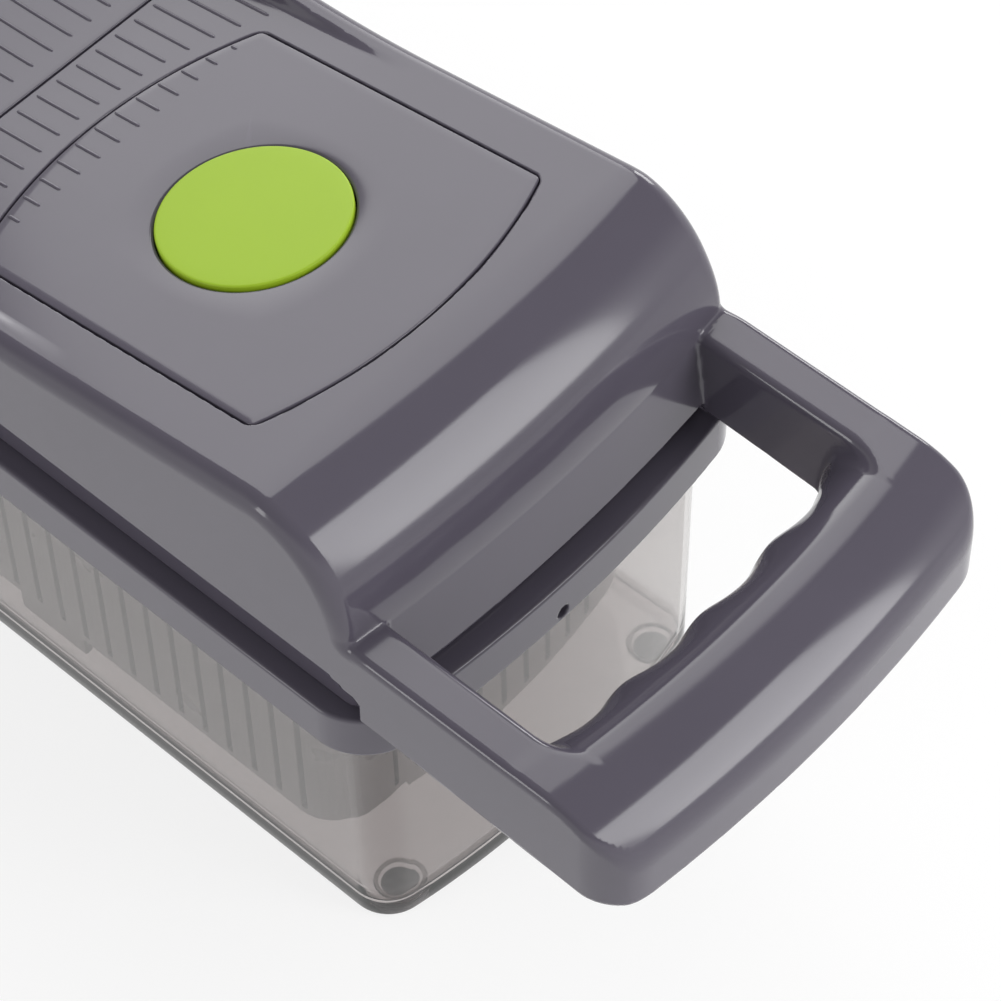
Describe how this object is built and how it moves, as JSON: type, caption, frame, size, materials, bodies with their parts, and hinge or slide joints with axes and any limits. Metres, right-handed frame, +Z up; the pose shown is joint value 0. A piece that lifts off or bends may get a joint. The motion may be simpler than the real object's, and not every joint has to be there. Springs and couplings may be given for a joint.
{
  "type": "vegetable chopper",
  "caption": "Vegetable chopper: clear container with drain basket, cutting frame with dicing grid, hinged press lid with loop handle and round push button.",
  "frame": {"origin": "on the table under the middle of the container", "axes": "+X towards the handle, +Y to the far side, +Z up"},
  "size_m": [0.3468, 0.117, 0.139],
  "materials": {
    "clear_plastic": "clear moulded",
    "smoke_plastic": "translucent grey moulded",
    "grey_plastic": "satin moulded",
    "dark_plastic": "moulded",
    "inner_plastic": "moulded",
    "white_plastic": "moulded",
    "green_plastic": "satin moulded",
    "blade_steel": "ground",
    "bright_steel": "plated",
    "foot_rubber": "soft"
  },
  "bodies": {
    "base": {"container": "clear_plastic", "foot_pads": "foot_rubber"},
    "basket": {"drain_basket": "smoke_plastic"},
    "frame": {"cutting_frame": "grey_plastic", "blade_carrier": "dark_plastic", "blades_long": "blade_steel", "blades_cross": "blade_steel", "hinge_pins": "bright_steel"},
    "lock": {"blade_lock": "inner_plastic"},
    "lid": {"lid": "grey_plastic", "top_panel": "grey_plastic", "rear_cover": "grey_plastic", "panel_screws": "bright_steel", "cover_screws": "bright_steel", "button_spring": "bright_steel", "latch_bridge": "inner_plastic", "bridge_screws": "bright_steel", "press_plate": "white_plastic", "stripper_grid": "green_plastic"},
    "button": {"button": "green_plastic", "button_clip": "bright_steel", "release_cam": "dark_plastic"},
    "latch_near": {"latch_left": "inner_plastic"},
    "latch_far": {"latch_right": "inner_plastic"}
  },
  "joints": [
    {"name": "frame_lift", "type": "slide", "parent": "base", "child": "frame", "axis": [0, 0, 1], "range_m": [0, 0.12]},
    {"name": "basket_lift", "type": "slide", "parent": "base", "child": "basket", "axis": [0, 0, 1], "range_m": [0, 0.06]},
    {"name": "blade_lock_slide", "type": "slide", "parent": "frame", "child": "lock", "axis": [1, 0, 0], "range_m": [0, 0.004]},
    {"name": "lid_hinge", "type": "hinge", "parent": "frame", "child": "lid", "pos_m": [-0.1421, 0, 0.092], "axis": [0, -1, 0], "range_deg": [0, 100]},
    {"name": "button_press", "type": "slide", "parent": "lid", "child": "button", "axis": [0.1676, 0, -0.9859], "range_m": [0, 0.004], "stiffness_N_per_m": 600, "deforming": ["button_spring"]},
    {"name": "latch_near_slide", "type": "slide", "parent": "lid", "child": "latch_near", "axis": [0, -1, 0], "range_m": [0, 0.0026]},
    {"name": "latch_far_slide", "type": "slide", "parent": "lid", "child": "latch_far", "axis": [0, 1, 0], "range_m": [0, 0.0026]}
  ],
  "couplings": [
    {"joint": "basket_lift", "follows": "frame_lift", "ratio": 0.5},
    {"joint": "latch_near_slide", "follows": "button_press", "ratio": 0.65},
    {"joint": "latch_far_slide", "follows": "button_press", "ratio": 0.65}
  ]
}
